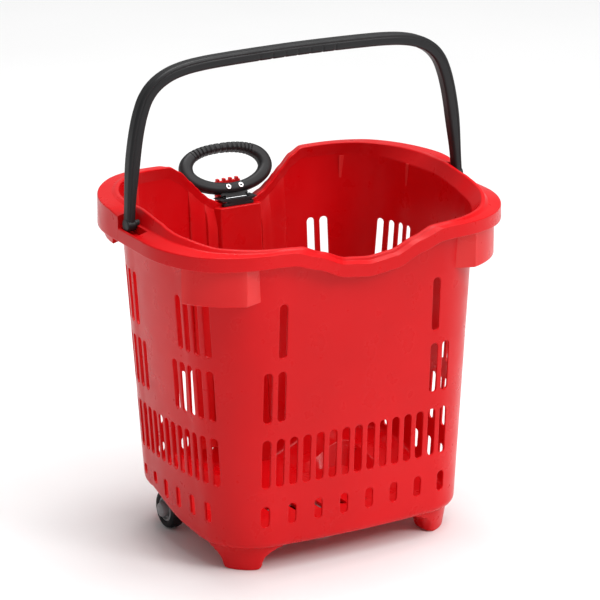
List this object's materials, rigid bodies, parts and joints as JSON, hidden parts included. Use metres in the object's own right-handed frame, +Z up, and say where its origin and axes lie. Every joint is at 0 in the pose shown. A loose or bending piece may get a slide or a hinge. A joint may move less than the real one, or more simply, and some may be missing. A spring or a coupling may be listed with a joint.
{
  "type": "two-wheeled shopping basket",
  "caption": "Slotted plastic shopping basket on wheels, with a folding carry handle and a telescopic drawbar with a loop grip behind the rear wall.",
  "frame": {"origin": "on the ground under the middle of the object's bounding box, with the handle at rest and the drawbar down", "axes": "+Z up, -Y towards the front of the basket, +Y towards the drawbar, +X to the right seen from the front"},
  "size_m": [0.4768, 0.3767, 0.6088],
  "materials": {
    "tub_red": "moulded polypropylene, satin-gloss",
    "cover_red": "moulded polypropylene, satin",
    "handle_black": "moulded nylon with soft sheen",
    "collar_black": "moulded plastic",
    "grip_black": "moulded plastic, ribbed",
    "tube_aluminium": "anodised",
    "steel": "zinc plated",
    "rivet_metal": "bright rolled",
    "hub_grey": "moulded nylon",
    "tyre_black": "moulded thermoplastic rubber"
  },
  "bodies": {
    "basket": {"basket_tub": "tub_red", "rear_cover": "cover_red", "drawbar_sleeve": "tube_aluminium", "guide_collar": "collar_black", "axle_rod": "steel", "axle_cap_left": "hub_grey", "axle_cap_right": "hub_grey", "axle_washer_left": "steel", "axle_washer_right": "steel", "cover_screw_left_1": "steel", "cover_screw_left_2": "steel", "cover_screw_left_3": "steel", "cover_screw_right_1": "steel", "cover_screw_right_2": "steel", "cover_screw_right_3": "steel"},
    "handle": {"carry_handle": "handle_black"},
    "drawbar_middle": {"drawbar_middle_tube": "tube_aluminium", "middle_tube_plug": "collar_black"},
    "drawbar_inner": {"drawbar_inner_tube": "tube_aluminium", "inner_tube_plug": "collar_black", "grip_stem": "collar_black", "grip_front": "grip_black", "grip_rear": "grip_black", "grip_rivet_left": "rivet_metal", "grip_rivet_right": "rivet_metal"},
    "wheel_left": {"wheel_tyre_left": "tyre_black", "wheel_hub_left": "hub_grey"},
    "wheel_right": {"wheel_tyre_right": "tyre_black", "wheel_hub_right": "hub_grey"}
  },
  "joints": [
    {"name": "handle_fold", "type": "hinge", "parent": "basket", "child": "handle", "pos_m": [0, -0.015, 0.417], "axis": [1, 0, 0], "range_deg": [0, 62]},
    {"name": "drawbar_middle_slide", "type": "slide", "parent": "basket", "child": "drawbar_middle", "axis": [0, 0.0718, 0.9974], "range_m": [0, 0.24]},
    {"name": "drawbar_inner_slide", "type": "slide", "parent": "drawbar_middle", "child": "drawbar_inner", "axis": [0, 0.0718, 0.9974], "range_m": [0, 0.22]},
    {"name": "wheel_left_spin", "type": "hinge", "parent": "basket", "child": "wheel_left", "pos_m": [-0.147, 0.046, 0.0245], "axis": [1, 0, 0], "continuous": true},
    {"name": "wheel_right_spin", "type": "hinge", "parent": "basket", "child": "wheel_right", "pos_m": [0.147, 0.046, 0.0245], "axis": [1, 0, 0], "continuous": true}
  ]
}
